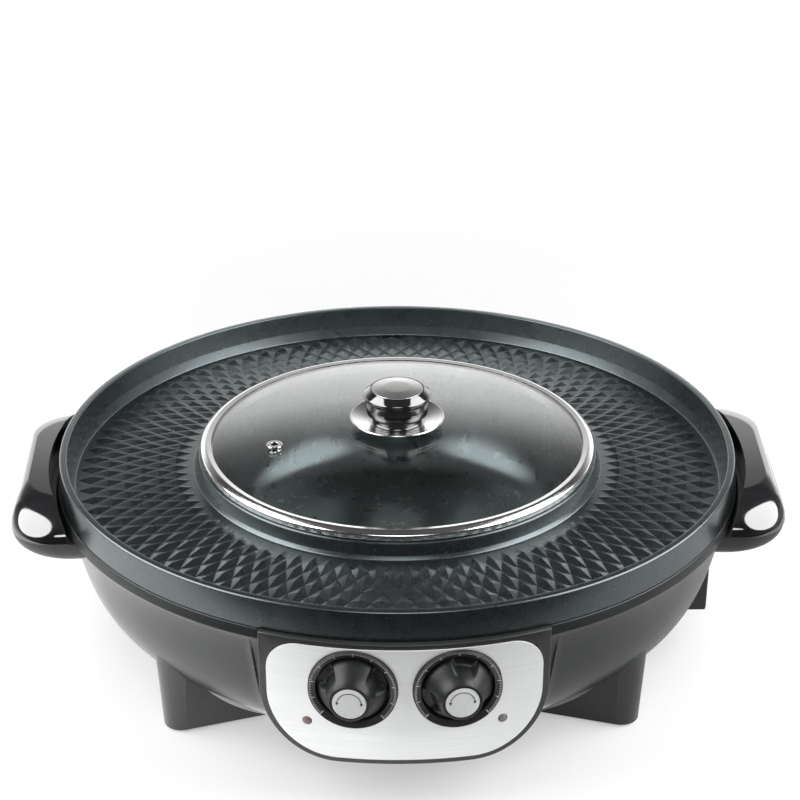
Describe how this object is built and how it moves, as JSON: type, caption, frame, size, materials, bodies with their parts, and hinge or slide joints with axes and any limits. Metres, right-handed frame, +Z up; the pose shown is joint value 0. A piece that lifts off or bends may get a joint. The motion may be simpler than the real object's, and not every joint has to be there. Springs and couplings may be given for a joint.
{
  "type": "hot pot grill combo",
  "caption": "Round electric table grill with a ridged die-cast pan, a lidded pot well in its middle, side handles, and a front console with two control knobs.",
  "frame": {"origin": "on the standing surface, under the middle of the bounding box", "axes": "+X to the right handle, -Y to the front console, +Z up"},
  "size_m": [0.4794, 0.4484, 0.1581],
  "materials": {
    "nonstick": "black non-stick coating, fine sparkle",
    "housing_plastic": "semi-gloss black moulding",
    "console_plastic": "semi-gloss black moulding",
    "gloss_plastic": "polished black",
    "matt_plastic": "satin black",
    "panel_metal": "satin silver, brushed along its length",
    "disc_finish": "white satin",
    "lamp_plastic": "dull red lens, unlit",
    "steel": "polished stainless",
    "thermostat_finish": "plain ceramic",
    "rubber": "matt",
    "lid_glass_finish": "clear tempered glass"
  },
  "bodies": {
    "base": {"bottom_plate": "steel", "console_shell": "console_plastic", "control_panel": "panel_metal", "dial_well_left": "console_plastic", "dial_well_right": "console_plastic", "foot_pad_front_left": "rubber", "foot_pad_front_right": "rubber", "foot_pad_rear_left": "rubber", "foot_pad_rear_right": "rubber", "grill_heater": "steel", "grill_pan": "nonstick", "handle_base_left": "matt_plastic", "handle_base_right": "matt_plastic", "handle_screw_left_front": "steel", "handle_screw_left_rear": "steel", "handle_screw_right_front": "steel", "handle_screw_right_rear": "steel", "handle_top_left": "gloss_plastic", "handle_top_right": "gloss_plastic", "heat_shield": "steel", "housing": "housing_plastic", "inlet_connector": "thermostat_finish", "inlet_shroud": "matt_plastic", "lamp_lens_left": "lamp_plastic", "lamp_lens_right": "lamp_plastic", "pan_screw_1": "steel", "pan_screw_2": "steel", "pan_screw_3": "steel", "pan_screw_4": "steel", "plate_screw_1": "steel", "plate_screw_2": "steel", "plate_screw_3": "steel", "plate_screw_4": "steel", "pot_heater": "steel", "thermostat_left": "thermostat_finish", "thermostat_right": "thermostat_finish"},
    "lid": {"lid_glass": "lid_glass_finish", "lid_knob": "gloss_plastic", "lid_knob_disc": "steel", "lid_plate": "steel", "lid_ring": "steel", "lid_screw": "steel", "lid_vent": "steel", "lid_washer": "rubber"},
    "knob_left": {"control_knob_left": "gloss_plastic", "knob_disc_left": "disc_finish", "knob_shaft_left": "steel"},
    "knob_right": {"control_knob_right": "gloss_plastic", "knob_disc_right": "disc_finish", "knob_shaft_right": "steel"},
    "grease_cup": {"grease_cup": "matt_plastic"}
  },
  "joints": [
    {"name": "lid_lift", "type": "slide", "parent": "base", "child": "lid", "axis": [0, 0, 1], "range_m": [0, 0.12]},
    {"name": "knob_left_turn", "type": "hinge", "parent": "base", "child": "knob_left", "pos_m": [-0.0282, -0.20923, 0.0797], "axis": [0.1304, 0.9915, 0], "range_deg": [0, 270]},
    {"name": "knob_right_turn", "type": "hinge", "parent": "base", "child": "knob_right", "pos_m": [0.0282, -0.20923, 0.0797], "axis": [-0.1304, 0.9915, 0], "range_deg": [0, 270]},
    {"name": "grease_cup_slide", "type": "slide", "parent": "base", "child": "grease_cup", "axis": [0, 1, 0], "range_m": [0, 0.06]}
  ]
}
